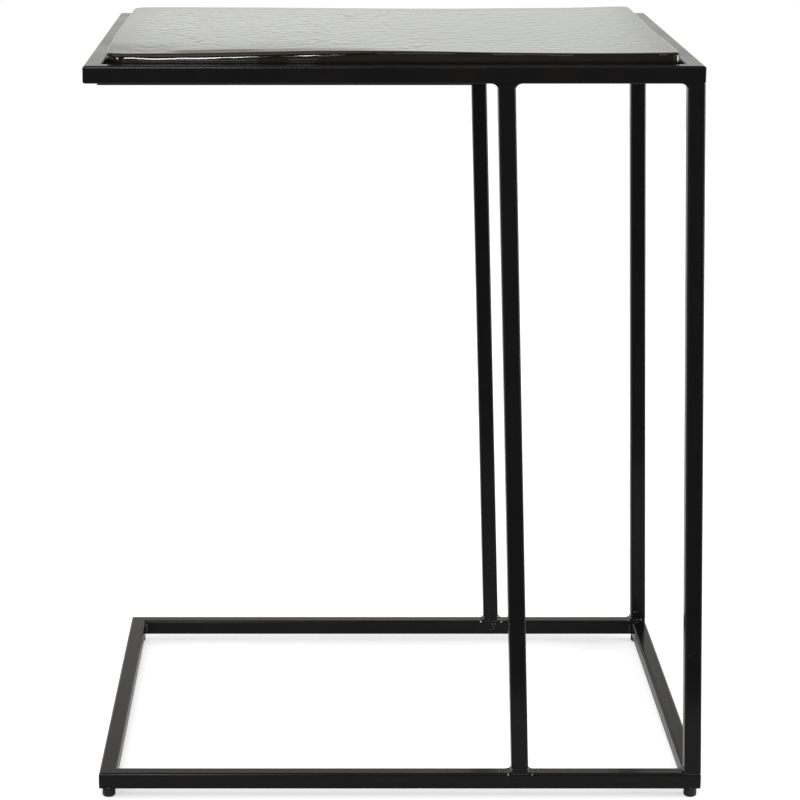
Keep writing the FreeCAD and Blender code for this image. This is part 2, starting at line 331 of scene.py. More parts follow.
def grain_group():
    """Node group: height of a fine grain, roughness that drifts with slow clouds, and the clouds
    themselves."""
    group = bpy.data.node_groups.new("fine_grain", "ShaderNodeTree")
    sockets = (
        ("Place", "INPUT", "NodeSocketVector"),
        ("Grains per metre", "INPUT", "NodeSocketFloat"),
        ("Clouds per metre", "INPUT", "NodeSocketFloat"),
        ("Glossiest", "INPUT", "NodeSocketFloat"),
        ("Dullest", "INPUT", "NodeSocketFloat"),
        ("Height", "OUTPUT", "NodeSocketFloat"),
        ("Roughness", "OUTPUT", "NodeSocketFloat"),
        ("Clouds", "OUTPUT", "NodeSocketFloat"),
    )
    for name, side, kind in sockets:
        group.interface.new_socket(name=name, in_out=side, socket_type=kind)
    given = group.nodes.new("NodeGroupInput").outputs
    grain = add_node(group, "ShaderNodeTexNoise", Vector=given["Place"],
                     Scale=given["Grains per metre"], Detail=3.0, Roughness=0.55)
    cloud = add_node(group, "ShaderNodeTexNoise", Vector=given["Place"],
                     Scale=given["Clouds per metre"], Detail=4.0, Roughness=0.6)
    clouds = add_range(group, cloud.outputs["Fac"], *CLOUD_LEVELS, 0.0, 1.0)
    roughness = add_range(group, cloud.outputs["Fac"], *CLOUD_LEVELS, given["Glossiest"], given["Dullest"])
    result = group.nodes.new("NodeGroupOutput").inputs
    group.links.new(grain.outputs["Fac"], result["Height"])
    group.links.new(roughness, result["Roughness"])
    group.links.new(clouds, result["Clouds"])
    return group


FINE_GRAIN = grain_group()
print("grain group:", FINE_GRAIN.name, "with", len(FINE_GRAIN.nodes), "nodes")


def add_grain(tree, grains, clouds, glossiest, dullest):
    """Grain group in a material, on the piece's own coordinates."""
    place = add_node(tree, "ShaderNodeTexCoord").outputs["Object"]
    grain = add_node(tree, "ShaderNodeGroup", {"node_tree": FINE_GRAIN}, Place=place,
                     Grains_per_metre=grains, Clouds_per_metre=clouds, Glossiest=glossiest, Dullest=dullest)
    return grain.outputs, place


def add_tint(tree, share, first, second):
    """Colour that goes from the first to the second with a share."""
    tint = add_node(tree, "ShaderNodeValToRGB", Fac=share)
    tint.color_ramp.elements[0].color = first
    tint.color_ramp.elements[1].color = second
    return tint.outputs["Color"]


def plain_finish(name, grains, gloss, colours, bump, **surface):
    """Material whose colour and roughness drift with the clouds, with the grain as bump. Grains and
    clouds are counts per metre, gloss is the lowest and highest roughness, bump is a strength and a
    depth."""
    material, tree, output = empty_material(name)
    grain, _ = add_grain(tree, *grains, *gloss)
    strength, depth = bump
    rough = add_node(tree, "ShaderNodeBump", Strength=strength, Distance=depth, Height=grain["Height"])
    finish = add_node(tree, "ShaderNodeBsdfPrincipled", Base_Color=add_tint(tree, grain["Clouds"], *colours),
                      Roughness=grain["Roughness"], Normal=rough.outputs["Normal"], **surface)
    tree.links.new(finish.outputs[0], output.inputs["Surface"])
    return material


# %% [markdown]
# Black powder coat
#
# The frame was dusted with powder and baked, which leaves a satin skin with a slight orange peel, a few
# grains of dust under it, and clouds where it lies thicker. Seen straight on it is nearly pure black,
# and at a low angle it mirrors the white room, so its refractive index is kept low and the peel does
# the softening. On the weld beads of the base ring it ran thin and set glossier.

# %% Powder coat
COAT_BLACK = (0.0053, 0.0053, 0.0059, 1.0)
COAT_WARM = (0.0079, 0.007, 0.0068, 1.0)
PEEL_PER_METRE = 620.0
PEEL_CLOUDS_PER_METRE = 17.0
PEEL_STRENGTH = 0.3
PEEL_DEPTH = 0.00006
DUST_COLOUR = (0.35, 0.34, 0.32, 1.0)
DUST_PER_METRE = 70.0
DUST_REACH = (0.02, 0.05)
DUST_SHARE = 0.12


def powder_coat(name, glossiest, dullest, index):
    """Satin black paint: peel as bump, clouds in colour and roughness, and sparse pale specks of dust."""
    material, tree, output = empty_material(name)
    grain, place = add_grain(tree, PEEL_PER_METRE, PEEL_CLOUDS_PER_METRE, glossiest, dullest)
    dust = add_node(tree, "ShaderNodeTexVoronoi", {"feature": "F1"}, Vector=place, Scale=DUST_PER_METRE)
    speck = add_range(tree, dust.outputs["Distance"], *DUST_REACH, 1.0, 0.0)
    tint = add_tint(tree, grain["Clouds"], COAT_BLACK, COAT_WARM)
    colour = add_mix(tree, add_math(tree, "MULTIPLY", speck, DUST_SHARE), tint, DUST_COLOUR)
    height = add_math(tree, "ADD", grain["Height"], speck)
    peel = add_node(tree, "ShaderNodeBump", Strength=PEEL_STRENGTH, Distance=PEEL_DEPTH, Height=height)
    paint = add_node(tree, "ShaderNodeBsdfPrincipled", Base_Color=colour, Roughness=grain["Roughness"],
                     IOR=index, Normal=peel.outputs["Normal"])
    tree.links.new(paint.outputs[0], output.inputs["Surface"])
    return material


POWDER_COAT = powder_coat("powder_coat", glossiest=0.14, dullest=0.21, index=1.25)
BEAD_COAT = powder_coat("bead_coat", glossiest=0.06, dullest=0.1, index=1.45)
TUBES = [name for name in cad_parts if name.endswith(("_rail", "_upright"))]


def finish_nodes(names, material):
    """Gives CAD nodes a finish in the material slots that they have."""
    for name in names:
        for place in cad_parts[name].material_slots:
            place.material = material


finish_nodes(TUBES + ["support_panel"], POWDER_COAT)
print("powder coated:", len(TUBES), "tubes and the panel")

# %% [markdown]
# Surfaces from arrays
#
# The shaped pieces are all grids of points: rings that follow each other, or a sheet with rows and
# columns. The helpers below turn such an array into a closed mesh whose faces look outwards. Whether
# they do is measured: a closed shell that faces outwards has a positive volume.


# %% Mesh helpers
def grid_quads(rows, columns, closed_rows=False):
    """Corner numbers of the quads of a grid; a closed row joins its last point to its first."""
    row = np.arange(rows - 1)[:, None]
    column = np.arange(columns if closed_rows else columns - 1)[None, :]
    beside = (column + 1) % columns
    corners = (row * columns + column, row * columns + beside,
               (row + 1) * columns + beside, (row + 1) * columns + column)
    return np.stack(np.broadcast_arrays(*corners), axis=-1).reshape(-1, 4)


def shell_volume(points, faces):
    """Volume inside a closed shell: a sixth of the sum of a . (b x c) over its triangles."""
    total = 0.0
    for block in faces:
        first = points[block[:, 0]]
        for step in range(1, block.shape[1] - 1):
            turn = np.cross(points[block[:, step]], points[block[:, step + 1]])
            total += np.einsum("ij,ij->", first, turn) / 6
    return total


def ringed_shell(rings):
    """Closed shell from rings of points: quads between neighbours, and a fan at each end to the ring's
    middle."""
    count, around, _ = rings.shape
    ends = rings[[0, -1]].mean(axis=1)
    points = np.concatenate([rings.reshape(-1, 3), ends])
    quads = grid_quads(count, around, closed_rows=True)
    here = np.arange(around)
    following = (here + 1) % around
    last = (count - 1) * around
    first_fan = np.stack([np.full(around, count * around), following, here], axis=-1)
    last_fan = np.stack([np.full(around, count * around + 1), last + here, last + following], axis=-1)
    return outward(points, [quads, np.concatenate([first_fan, last_fan])])


def outward(points, faces):
    """Shell with its faces turned outwards."""
    if shell_volume(points, faces) < 0:
        faces = [block[:, ::-1] for block in faces]
    return points, faces


def joined(shells):
    """Several shells as one, with the corner numbers of each moved past the points before it."""
    starts = np.cumsum([0] + [len(points) for points, _ in shells])
    points = np.concatenate([points for points, _ in shells])
    faces = [block + start for (_, blocks), start in zip(shells, starts) for block in blocks]
    return points, faces


ROUND_POINTS = 64


def turned_shell(place, radii, heights, around=ROUND_POINTS):
    """Shell of revolution about an upright axis: one ring of the given radius at each height. Radii may
    be one number for each ring, or a grid with a column for each angle."""
    turn = np.linspace(0, 2 * math.pi, around, endpoint=False)
    radii = np.broadcast_to(np.asarray(radii).reshape(len(heights), -1), (len(heights), around))
    level = np.broadcast_to(np.asarray(heights)[:, None], radii.shape)
    rings = np.stack([radii * np.cos(turn), radii * np.sin(turn), level], axis=-1)
    return ringed_shell(rings + place)


SHARP_FROM = math.radians(50)


def new_piece(name, shell, material, body, slot, *nodes):
    """Object from a shell, in the CAD frame, that rides on a body and stands for CAD nodes."""
    points, faces = shell
    mesh = bpy.data.meshes.new(name)
    mesh.from_pydata(points.tolist(), [], [corners for block in faces for corners in block.tolist()])
    mesh.polygons.foreach_set("use_smooth", np.ones(len(mesh.polygons), dtype=bool))
    mesh.set_sharp_from_angle(angle=SHARP_FROM)
    mesh.materials.append(material)
    piece = new_object(name, mesh)
    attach(piece, body)
    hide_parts(*nodes)
    print(name, len(mesh.polygons), "faces,", round(shell_volume(points, faces) / MM**3), "mm3")
    return piece


# %% [markdown]
# The cast glass top
#
# The slab was poured and left to cool, so nothing on it is quite flat: the top ripples, its edges are
# melted round and waver, and each corner has its own radius. It could be a box with a subdivision
# modifier and a displacement texture, but then the corners and the ripples could not be told apart.
# Here the top is a sheet of points: a flat middle whose outer rows are carried over the rounded edge
# and down to half height. A second sheet, turned over, closes it below. Both are then pushed along
# their own normals by a sum of waves.

# %% Slab outline
glass_low, glass_high = (np.array(corner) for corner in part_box("cast_glass_top"))
GLASS_MIDDLE = (glass_low + glass_high) / 2
GLASS_HALF = (glass_high - glass_low) / 2
OUTLINE_REACH = 13 * MM
SIDE_RADIUS = 2.2 * MM
FRONT_RADII = (6.0 * MM, 1.8 * MM)
RADIUS_CHANGE = (-75 * MM, 35 * MM)
RADIUS_WAVES = ((0.08, 6.1 * MM), (0.07, 9.7 * MM))
RADIUS_WAVES_END = (-160 * MM, -120 * MM)
BACK_RADIUS = 3.0 * MM
BOTTOM_RADIUS = 4.0 * MM
# Power of each corner's curve, front left, front right, back left, back right: 2 is a circle, more
# is squarer.
CORNER_POWERS = np.array([[3.0, 4.0], [2.0, 4.0]])
CELL = 2.0 * MM
EDGE_ROWS = 14


def eased(value, low, high):
    """Smooth step from 0 at low to 1 at high: the share s of the way, squared, times 3 - 2 s."""
    share = np.clip((value - low) / (high - low), 0, 1)
    return share * share * (3 - 2 * share)


def part_way(low, high, share):
    """Value at a share of the way from low to high."""
    return low + (high - low) * share


def top_edge_radius(across, along, angle):
    """Radius of the melted top edge: small at the two ends of the slab, larger along the front, most at
    the left, where it swells and shrinks in two slow waves; round a corner it follows the squared sine
    of the corner's angle."""
    front = part_way(*FRONT_RADII, eased(across, *RADIUS_CHANGE))
    waves = sum(share * np.sin(across / length) for share, length in RADIUS_WAVES)
    front = front * (1 + waves * (1 - eased(across, *RADIUS_WAVES_END)))
    long_side = np.where(along < 0, front, BACK_RADIUS)
    return part_way(SIDE_RADIUS, long_side, np.sin(angle) ** 2)


def sheet_stops(core):
    """Distances from the middle of the sheet along one side: even cells over the core, then closer rows."""
    inner = np.linspace(-core, core, int(round(2 * core / CELL)) + 1)
    return np.concatenate([-core - np.linspace(1, 1 / EDGE_ROWS, EDGE_ROWS), inner,
                           core + np.linspace(1 / EDGE_ROWS, 1, EDGE_ROWS)])


def edge_profile(run, radius):
    """How far out, how far down and how far tipped the surface is at a share of the way from the core's
    edge to half height: level, then a quarter circle, then straight down."""
    level = OUTLINE_REACH - radius
    arc = radius * math.pi / 2
    fall = GLASS_HALF[2] - radius
    way = run * (level + arc + fall)
    tip = np.clip((way - level) / radius, 0, math.pi / 2)
    out = np.minimum(way, level) + radius * np.sin(tip)
    down = radius * (1 - np.cos(tip)) + np.maximum(way - level - arc, 0)
    return out, down, tip


def slab_sheet(melted):
    """Half of the slab as a sheet: points, and the normals of the even form, before any waves. A point
    outside the core rectangle keeps its ring, the larger of its two overshoots, and its share of the
    corner's angle."""
    core = GLASS_HALF[:2] - OUTLINE_REACH
    across, along = np.meshgrid(sheet_stops(core[0]), sheet_stops(core[1]))
    over_x = np.maximum(np.abs(across) - core[0], 0)
    over_y = np.maximum(np.abs(along) - core[1], 0)
    ring = np.maximum(over_x, over_y)
    safe_ring = np.where(ring > 0, ring, 1)
    angle = np.where(over_x >= over_y, over_y / safe_ring, 2 - over_x / safe_ring) * math.pi / 4
    power = CORNER_POWERS[(along > 0).astype(int), (across > 0).astype(int)]
    squareness = (np.cos(angle) ** power + np.sin(angle) ** power) ** (-1 / power)
    radius = top_edge_radius(across, along, angle) if melted else BOTTOM_RADIUS
    out, down, tip = edge_profile(ring, radius)
    aim_x = np.cos(angle) * np.sign(across) * (ring > 0)
    aim_y = np.sin(angle) * np.sign(along) * (ring > 0)
    points = np.stack([np.clip(across, -core[0], core[0]) + out * squareness * aim_x,
                       np.clip(along, -core[1], core[1]) + out * squareness * aim_y,
                       GLASS_HALF[2] - down], axis=-1)
    normals = np.stack([np.sin(tip) * aim_x, np.sin(tip) * aim_y, np.cos(tip)], axis=-1)
    return points, normals


top_sheet, top_normals = slab_sheet(melted=True)
print("glass sheet:", top_sheet.shape[0], "x", top_sheet.shape[1], "points")

# %% [markdown]
# Waves in the glass
#
# Molten glass skins over unevenly. A sum of plane waves with random directions gives such a skin: short
# waves for the ripple, stronger in some patches and fading towards the smooth border, longer ones for
# the unsteady front edge, and a slow warp that lifts one corner and swells and folds behind the front
# edge. The ends drift a little sideways as well. The random numbers come from fixed seeds.

# %% Waves
RIPPLE_LENGTHS = (8 * MM, 22 * MM)
RIPPLE_COUNT = 48
RIPPLE_SLOPE = 0.0045
EDGE_WAVE_LENGTHS = (24 * MM, 80 * MM)
EDGE_WAVE_COUNT = 16
EDGE_WAVE_SLOPE = 0.004
BORDER = (6 * MM, 30 * MM)
PATCH_LENGTHS = (90 * MM, 200 * MM)
PATCH_COUNT = 8


def wave_field(points, lengths, count, slope, seed):
    """Sum of plane waves: each has a random direction, a length between the two given and the same
    steepness."""
    random = np.random.default_rng(seed)
    heading = random.normal(size=(count, 3))
    heading /= np.linalg.norm(heading, axis=1, keepdims=True)
    length = random.uniform(*lengths, size=count)
    start = random.uniform(0, 2 * math.pi, size=count)
    phase = points @ (heading / length[:, None]).T * 2 * math.pi + start
    return (np.sin(phase) * slope * length / (2 * math.pi)).sum(axis=-1)


def inset_from_edge(points):
    """Distance in plan from a point to the nearest side of the slab."""
    return (GLASS_HALF[:2] - np.abs(points[..., :2])).min(axis=-1)


WARP_LENGTH = 285 * MM
WARP_CREST = -22 * MM
FRONT_WARP = 0.8 * MM
END_DROP = 0.9 * MM
END_DROP_FROM = 90 * MM
BACK_DROP = 1.9 * MM
BACK_SAG = 0.6 * MM
BACK_SAG_CREST = 40 * MM
CORNER_LIFT = 0.9 * MM
CORNER_LIFT_REACH = 60 * MM
FRONT_SWELL = 1.9 * MM
SWELL_REACH = 62 * MM
SWELL_TO_LIP = (-110 * MM, 40 * MM)
FRONT_LIP = 0.2 * MM
LIP_REACH = (4 * MM, 14 * MM)
FRONT_FOLD = 1.25 * MM
FOLD_REACH = (4 * MM, 18 * MM)
FOLD_START = (-178 * MM, -155 * MM)
FOLD_END = (-40 * MM, 30 * MM)
FOLD_STEP = (-120 * MM, -90 * MM)
FOLD_STEP_SHARE = 0.45


def slow_warp(points):
    """Lift of the top: a long wave along the front, lower at both ends, a sag along the back with a
    raised corner at the right, and behind the front edge a swell on the left, steepest in a fold close
    to the edge, that turns into a low lip on the right."""
    x, y = points[..., 0], points[..., 1]
    half_x, half_y = GLASS_HALF[:2]
    from_front = y + half_y
    back_share = from_front / (2 * half_y)
    front = FRONT_WARP * np.cos(2 * math.pi * (x - WARP_CREST) / WARP_LENGTH)
    front = front - END_DROP * eased(np.abs(x), END_DROP_FROM, half_x)
    back = -BACK_DROP - BACK_SAG * np.cos(math.pi * (x - BACK_SAG_CREST) / half_x)
    back = back + CORNER_LIFT * eased(x, half_x - CORNER_LIFT_REACH, half_x)
    right_share = eased(x, *SWELL_TO_LIP)
    fading = 1 - eased(y, -half_y / 2, half_y)
    fold_height = FRONT_FOLD * eased(x, *FOLD_START) * (1 - eased(x, *FOLD_END))
    fold_height = fold_height * (1 - FOLD_STEP_SHARE * eased(x, *FOLD_STEP))
    fold = fold_height * eased(from_front, *FOLD_REACH) * fading
    swell = (FRONT_SWELL * (1 - right_share) - fold_height) * eased(from_front, 0, SWELL_REACH) * fading
    lip = FRONT_LIP * right_share * (1 - eased(from_front, *LIP_REACH))
    return front * (1 - back_share) + back * back_share + fold + swell + lip


LEFT_BULGE = 1.4 * MM
BULGE_RISE = (-165 * MM, 10 * MM)
LEFT_FLARE = 1.5 * MM
FLARE_FROM = 2 * MM
RIGHT_WAIST = 1.2 * MM
WAIST_MIDDLE = 15 * MM
WAIST_WIDTH = 75 * MM
DRIFT_REACH = 60 * MM


def side_drift(points):
    """Sideways shift of the two ends: the left one bulges over its back two thirds and flares out above
    the frame, the right one has a waist."""
    x, y, z = np.moveaxis(points, -1, 0)
    ends = GLASS_HALF[0] - DRIFT_REACH, GLASS_HALF[0]
    bulge = LEFT_BULGE * eased(y, *BULGE_RISE)
    flare = LEFT_FLARE * eased(z, FLARE_FROM, GLASS_HALF[2] - SIDE_RADIUS)
    waist = RIGHT_WAIST * np.exp(-((y - WAIST_MIDDLE) / WAIST_WIDTH) ** 2)
    return -(bulge + flare) * eased(-x, *ends) - waist * eased(x, *ends)


CALM_PATCH = 0.6
RIPPLED_PATCH = 1.1
PATCH_RISE = (-40 * MM, 40 * MM)
CALM_RIGHT = 0.6
CALM_RIGHT_FROM = (0, 150 * MM)
CALM_BORDER = 0.15
CALM_SIDES = 0.2
FACING_FRONT = (0.2, 0.9)


def cast_slab():
    """Closed slab: the wavy top sheet and a calmer one below it, joined along the line at half height."""
    bottom_sheet, bottom_normals = slab_sheet(melted=False)
    turned_over = np.array([1, 1, -1])
    bottom_sheet, bottom_normals = bottom_sheet * turned_over, bottom_normals * turned_over
    patches = wave_field(top_sheet, PATCH_LENGTHS, PATCH_COUNT, 1.0, seed=5)
    strength = part_way(CALM_PATCH, RIPPLED_PATCH, eased(patches, *PATCH_RISE))
    strength *= part_way(1, CALM_RIGHT, eased(top_sheet[..., 0], *CALM_RIGHT_FROM))
    strength *= part_way(CALM_BORDER, 1, eased(inset_from_edge(top_sheet), *BORDER))
    ripple = wave_field(top_sheet, RIPPLE_LENGTHS, RIPPLE_COUNT, RIPPLE_SLOPE, seed=11) * strength
    top = top_sheet + top_normals * ripple[..., None]
    sheets = []
    for sheet, normals, lifted in ((top, top_normals, 1), (bottom_sheet, bottom_normals, 0)):
        waver = wave_field(sheet, EDGE_WAVE_LENGTHS, EDGE_WAVE_COUNT, EDGE_WAVE_SLOPE, seed=23)
        waver *= part_way(CALM_SIDES, 1, eased(-normals[..., 1], *FACING_FRONT))
        sheet = sheet + normals * np.array([1, 1, lifted]) * waver[..., None]
        sheet[..., 2] += lifted * slow_warp(sheet) * eased(sheet[..., 2], 0, GLASS_HALF[2])
        sheet[..., 0] += side_drift(sheet)
        sheets.append(sheet)
    return stitched(*sheets)


def stitched(upper, lower):
    """One shell from two sheets of the same size, the lower one's rim put on the upper one's."""
    rows, columns, _ = upper.shape
    inner = np.ones((rows, columns), dtype=bool)
    inner[[0, -1], :] = False
    inner[:, [0, -1]] = False
    number = np.arange(rows * columns).reshape(rows, columns)
    lower_number = number.copy()
    lower_number[inner] = rows * columns + np.arange(inner.sum())
    quads = grid_quads(rows, columns)
    faces = np.concatenate([quads, lower_number.reshape(-1)[quads][:, ::-1]])
    return outward(np.concatenate([upper.reshape(-1, 3), lower[inner]]), [faces])


slab_points, slab_faces = cast_slab()
slab_shell = slab_points + GLASS_MIDDLE, slab_faces
print("slab:", [round(float(side), 4) for side in np.ptp(slab_points, axis=0)])

# %% [markdown]
# Smoked glass
#
# Smoked glass is nearly black in the thickness of this slab: brown in some places and olive in others,
# because the melt was stirred unevenly. Less than half of it is clear glass with a dark colour, which
# tints what light finds its way through, and the rest is the murky melt. From a low angle the top is
# bright all the same, because glass mirrors nearly everything then. A weak second gloss layer stands
# for the light that comes back off the underside, which the smooth border lacks.

# %% Smoked glass
GLASS_BROWN = (0.017, 0.0118, 0.0072, 1.0)
GLASS_OLIVE = (0.0132, 0.012, 0.0062, 1.0)
GLASS_IOR = 1.52
CLEAR_SHARE = 0.45
COAT_SHARE = 0.14
COAT_ROUGHNESS = 0.03
GLASS_GLOSS = (0.008, 0.03)
GLASS_GRAINS = (900.0, 9.0)
RIPPLES_PER_METRE = 150.0
FINE_RIPPLE = 0.0011
SKIN_PATCHES_PER_METRE = 22.0
# Two noise levels and the share of the ripple at each, then two places along the slab and the shares there.
SKIN_PATCHES = (0.4, 0.66, 0.25, 1.0)
SKIN_FADING = (-0.05, 0.12, 1.0, 0.55)


def smoked_glass():
    """Dark, half clear glass with a fine ripple in its upper skin, stronger in some patches and at the
    left, and a coat that is strongest away from the border."""
    material, tree, output = empty_material("smoked_glass")
    grain, place = add_grain(tree, *GLASS_GRAINS, *GLASS_GLOSS)
    tint = add_tint(tree, grain["Clouds"], GLASS_BROWN, GLASS_OLIVE)
    centred = add_node(tree, "ShaderNodeMapping", {"vector_type": "POINT"}, Vector=place,
                       Location=tuple(-GLASS_MIDDLE))
    plan = add_node(tree, "ShaderNodeSeparateXYZ", Vector=centred.outputs[0]).outputs
    inset = [add_math(tree, "SUBTRACT", float(half), add_math(tree, "ABSOLUTE", plan[axis]))
             for axis, half in zip("XY", GLASS_HALF)]
    middle = add_range(tree, add_math(tree, "MINIMUM", *inset), *BORDER, 0.0, 1.0)
    patches = add_node(tree, "ShaderNodeTexNoise", Vector=place, Scale=SKIN_PATCHES_PER_METRE, Detail=2.0)
    patch = add_range(tree, patches.outputs["Fac"], *SKIN_PATCHES)
    fading = add_range(tree, plan["X"], *SKIN_FADING)
    share = add_math(tree, "MULTIPLY", add_math(tree, "MULTIPLY", patch, fading), middle)
    upper_half = add_range(tree, plan["Z"], 0.0, float(GLASS_HALF[2]) / 2, 0.0, 1.0)
    share = add_math(tree, "MULTIPLY", share, upper_half)
    wrinkle = add_node(tree, "ShaderNodeTexNoise", Vector=place, Scale=RIPPLES_PER_METRE, Detail=0.8)
    height = add_math(tree, "MULTIPLY", add_math(tree, "SUBTRACT", wrinkle.outputs["Fac"], 0.5), share)
    ripple = add_node(tree, "ShaderNodeBump", Strength=1.0, Distance=FINE_RIPPLE, Height=height)
    coat = add_math(tree, "MULTIPLY", middle, COAT_SHARE)
    glass = add_node(tree, "ShaderNodeBsdfPrincipled", Base_Color=tint, Roughness=grain["Roughness"],
                     IOR=GLASS_IOR, Transmission_Weight=CLEAR_SHARE, Coat_Weight=coat,
                     Coat_Roughness=COAT_ROUGHNESS, Normal=ripple.outputs["Normal"])
    tree.links.new(glass.outputs[0], output.inputs["Surface"])
    return material


SMOKED_GLASS = smoked_glass()
new_piece("cast_glass", slab_shell, SMOKED_GLASS, "glass", "smoked_glass", "cast_glass_top")

# %% [markdown]
# Weld beads
#
# Each upright is welded where it meets a ring. The bead fills the corner with a hollow fillet on the
# faces that meet the rail at a right angle, and on the faces that are flush with the rail it was ground
# away, which leaves no seam. Both come from one surface: rings that follow the upright's rounded
# square, pushed out by a quarter circle on the sides that carry a bead. The lumps come from the same
# sum of waves as the glass.

# %% Upright welds
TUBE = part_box("top_front_rail")[1].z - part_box("top_front_rail")[0].z
TUBE_RADIUS = 2.2 * MM
RING_POINTS = 96
TOP_LEG = 5.0 * MM
BASE_LEG = 4.0 * MM
ROOT = 1.45 * MM
SINK = 0.3 * MM
BEAD_ROWS = 13
ROW_POWER = 1.5
OVERRUN = 1.12
BEAD_TURN = (0.3, 0.95)
FLUSH_BELOW = 0.02
LUMP_LENGTHS = (2.2 * MM, 6 * MM)
LUMP_COUNT = 10
LUMP_RISE = 0.3
TOP_LUMP_SLOPE = 0.02
BASE_LUMP_SLOPE = 0.34
BASE_WELD_SEED = 40


def rounded_square(points):
    """Outline of the tube and its outward normals: a square's flat sides pushed out from its core by
    the corner radius, where the normal turns through a quarter circle at each corner."""
    turn = np.linspace(0, 2 * math.pi, points, endpoint=False) + math.pi / points
    aim = np.stack([np.cos(turn), np.sin(turn)], axis=-1)
    core = TUBE / 2 - TUBE_RADIUS
    box = aim / np.abs(aim).max(axis=1, keepdims=True) * TUBE / 2
    heart = np.clip(box, -core, core)
    normal = box - heart
    normal /= np.linalg.norm(normal, axis=1, keepdims=True)
    return heart + normal * TUBE_RADIUS, normal


def upright_ends(name):
    """Middle of an upright's section at its lower and upper end."""
    low, high = (np.array(corner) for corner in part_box(name))
    half = np.array([TUBE / 2, TUBE / 2, 0])
    lower = np.array([high[0], high[1], low[2]]) - half
    upper = np.array([low[0], low[1], high[2]]) + half
    return lower, upper


def bead_sides(name):
    """Directions of an upright's faces that carry a bead: along the ring's rails."""
    if "middle" in name:
        return np.array([[-1, 0], [1, 0]])
    return np.array([[-1, 0], [0, 1 if name.startswith("front") else -1]])


def upright_weld(name, at_top, leg, lump_slope, seed):
    """Closed bead round one end of an upright. Its rings start inside the rail and climb along the
    upright; at a height h above the rail the hollow stands out by leg - sqrt(leg^2 - (leg - h)^2), and
    then it sinks in."""
    lower, upper = upright_ends(name)
    start, far = (upper, lower) if at_top else (lower, upper)
    climb = (far - start) / np.linalg.norm(far - start)
    outline, normal = rounded_square(RING_POINTS)
    sides = bead_sides(name)
    weights = eased(normal @ sides.T, *BEAD_TURN)
    weight = weights.max(axis=1)
    rows = np.linspace(0, 1, BEAD_ROWS) ** ROW_POWER * leg
    height = np.concatenate([[-ROOT, -ROOT / 2], rows, [leg * OVERRUN]])
    rest = leg - np.clip(height, 0, leg)
    hollow = leg - np.sqrt(leg**2 - rest**2)
    hollow = hollow * (height >= 0)
    sink = SINK * eased(height, 0, leg)
    sunk = sink[:, None] + np.where(weight[None, :] < FLUSH_BELOW, SINK, 0)
    rings = np.zeros((len(height), RING_POINTS, 3))
    rings[..., :2] = outline - normal * sunk[..., None] + hollow[:, None, None] * (weights @ sides)
    rings += start + climb * height[:, None, None]
    lumps = wave_field(rings, LUMP_LENGTHS, LUMP_COUNT, lump_slope, seed)
    raised = weight[None, :] * eased(hollow, 0.0, LUMP_RISE * leg)[:, None]
    rings[..., :2] += (weights @ sides) * (lumps * raised)[..., None]
    return ringed_shell(rings)


UPRIGHTS = [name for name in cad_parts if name.endswith("_upright")]
top_upright_welds = [upright_weld(name, True, TOP_LEG, TOP_LUMP_SLOPE, seed)
                     for seed, name in enumerate(UPRIGHTS)]
base_upright_welds = [upright_weld(name, False, BASE_LEG, BASE_LUMP_SLOPE, seed)
                      for seed, name in enumerate(UPRIGHTS, BASE_WELD_SEED)]
print("upright welds:", len(top_upright_welds), "at the top and", len(base_upright_welds), "at the base")

# %% [markdown]
# Weld spatter and painted glints
#
# A weld throws drops of metal that stick beside it. They are small balls, half sunk in the tube,
# scattered at random near each bead of the base. Their pale colour is partly bare metal where the paint
# didn't hold and partly a painted highlight that stands for the glints of the lumpy beads. Larger balls
# where a bead ends at the front are painted glints alone, at places given in a table. A particle system
# could scatter the random ones, but for so few of them places drawn from a seeded generator are
# simpler, and the same each time.

# %% Weld spatter and painted glints
DROPS_PER_SIDE = 5
FRONT_DROPS = {"front_middle_upright": 1, "front_end_upright": 0,
               "back_middle_upright": 9, "back_end_upright": 2}
DROP_SIZES = (0.2 * MM, 0.45 * MM)
DROP_POINTS = 10
DROP_RINGS = 7
DROP_POLE = 0.15
SPATTER_START = 0.6 * BASE_LEG
SPATTER_REACH = 9 * MM
SPATTER_SPREAD = (-0.36, 0.36)
SPATTER_CLIMB = (-0.7, 0.8)
RAIL_SHARE = 0.6
SPATTER_SEED = 120
# Larger balls where the beads of a middle upright end at the front: painted glints, their places from the
# foot and their sizes.
BEAD_END_GLINTS = np.array([[-9.6, -6.3, -0.8], [9.8, -6.3, -0.8], [-6.4, -5.9, 3.8], [6.4, -5.9, 4.0]]) * MM
BEAD_END_GLINT_SIZES = np.array([0.8, 0.65, 0.5, 0.55]) * MM


